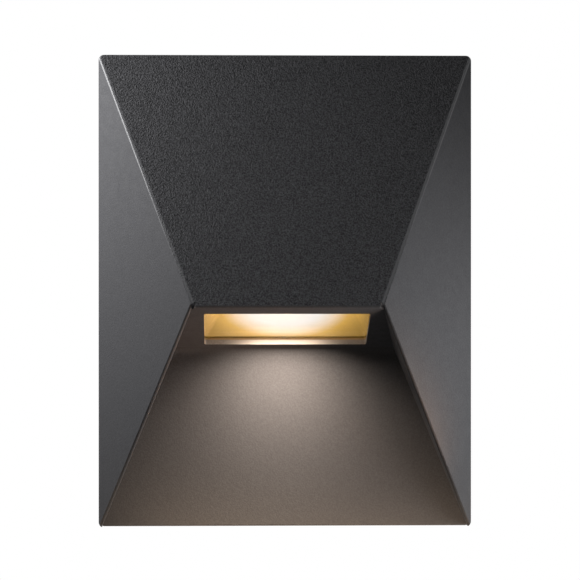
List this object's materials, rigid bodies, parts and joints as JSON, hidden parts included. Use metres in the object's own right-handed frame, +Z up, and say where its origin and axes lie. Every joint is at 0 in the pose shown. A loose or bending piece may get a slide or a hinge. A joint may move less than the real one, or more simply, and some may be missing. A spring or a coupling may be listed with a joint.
{
  "type": "outdoor wall light",
  "caption": "Flush wall light with a hipped cast housing, a tilted window that throws light down onto its own recessed lower half, and a wall plate behind.",
  "frame": {"origin": "middle of the wall face, where the wall plate lies on the wall", "axes": "+Y into the wall, +Z up, +X to the right as seen from in front"},
  "size_m": [0.15, 0.0498, 0.19],
  "materials": {
    "powder_coat": "matte",
    "rubber": "matte",
    "galvanised_steel": "satin",
    "stainless_steel": "satin",
    "clear_glass": "polished",
    "gold_reflector": "satin",
    "white_board": "satin",
    "light_chip": "matte",
    "bare_aluminium": "satin",
    "white_plastic": "matte",
    "green_board": "satin",
    "black_plastic": "matte",
    "grey_plastic": "matte",
    "orange_plastic": "satin",
    "brass": "satin",
    "tinned_brass": "satin",
    "brown_insulation": "satin",
    "blue_insulation": "satin",
    "green_insulation": "satin",
    "red_insulation": "satin",
    "black_insulation": "satin"
  },
  "bodies": {
    "wall_plate": {"wall_plate": "galvanised_steel", "cable_grommet": "rubber"},
    "housing": {"housing": "powder_coat", "rear_gasket": "rubber", "glass_seal": "rubber", "window_glass": "clear_glass", "reflector": "gold_reflector", "reflector_screws": "stainless_steel", "led_board": "white_board", "led_chips": "light_chip", "heat_spreader": "bare_aluminium", "spreader_screws": "stainless_steel", "led_board_screws": "stainless_steel", "driver_base": "white_plastic", "driver_lid": "white_plastic", "driver_board": "green_board", "driver_components": "black_plastic", "driver_screws": "stainless_steel", "terminal_block": "grey_plastic", "terminal_cover": "grey_plastic", "terminal_contacts": "brass", "terminal_screws": "stainless_steel", "live_lead": "brown_insulation", "neutral_lead": "blue_insulation", "led_lead_positive": "red_insulation", "led_lead_negative": "black_insulation", "earth_lead": "green_insulation", "earth_ring_terminal": "tinned_brass", "earth_washer": "stainless_steel", "earth_screw": "stainless_steel"},
    "fixing_screw_left": {"fixing_screw_left": "stainless_steel"},
    "fixing_screw_right": {"fixing_screw_right": "stainless_steel"},
    "terminal_button_live": {"terminal_button_live": "orange_plastic"},
    "terminal_button_neutral": {"terminal_button_neutral": "orange_plastic"},
    "terminal_button_earth": {"terminal_button_earth": "orange_plastic"}
  },
  "joints": [
    {"name": "housing_lift_off", "type": "slide", "parent": "wall_plate", "child": "housing", "axis": [0, -1, 0], "range_m": [0, 0.06]},
    {"name": "left_screw_turn", "type": "hinge", "parent": "housing", "child": "fixing_screw_left", "pos_m": [-0.072, -0.006, 0], "axis": [-1, 0, 0], "range_deg": [0, 1080]},
    {"name": "right_screw_turn", "type": "hinge", "parent": "housing", "child": "fixing_screw_right", "pos_m": [0.072, -0.006, 0], "axis": [1, 0, 0], "range_deg": [0, 1080]},
    {"name": "live_button_press", "type": "slide", "parent": "housing", "child": "terminal_button_live", "axis": [0, -1, 0], "range_m": [0, 0.0012], "stiffness_N_per_m": 800},
    {"name": "neutral_button_press", "type": "slide", "parent": "housing", "child": "terminal_button_neutral", "axis": [0, -1, 0], "range_m": [0, 0.0012], "stiffness_N_per_m": 800},
    {"name": "earth_button_press", "type": "slide", "parent": "housing", "child": "terminal_button_earth", "axis": [0, -1, 0], "range_m": [0, 0.0012], "stiffness_N_per_m": 800}
  ]
}
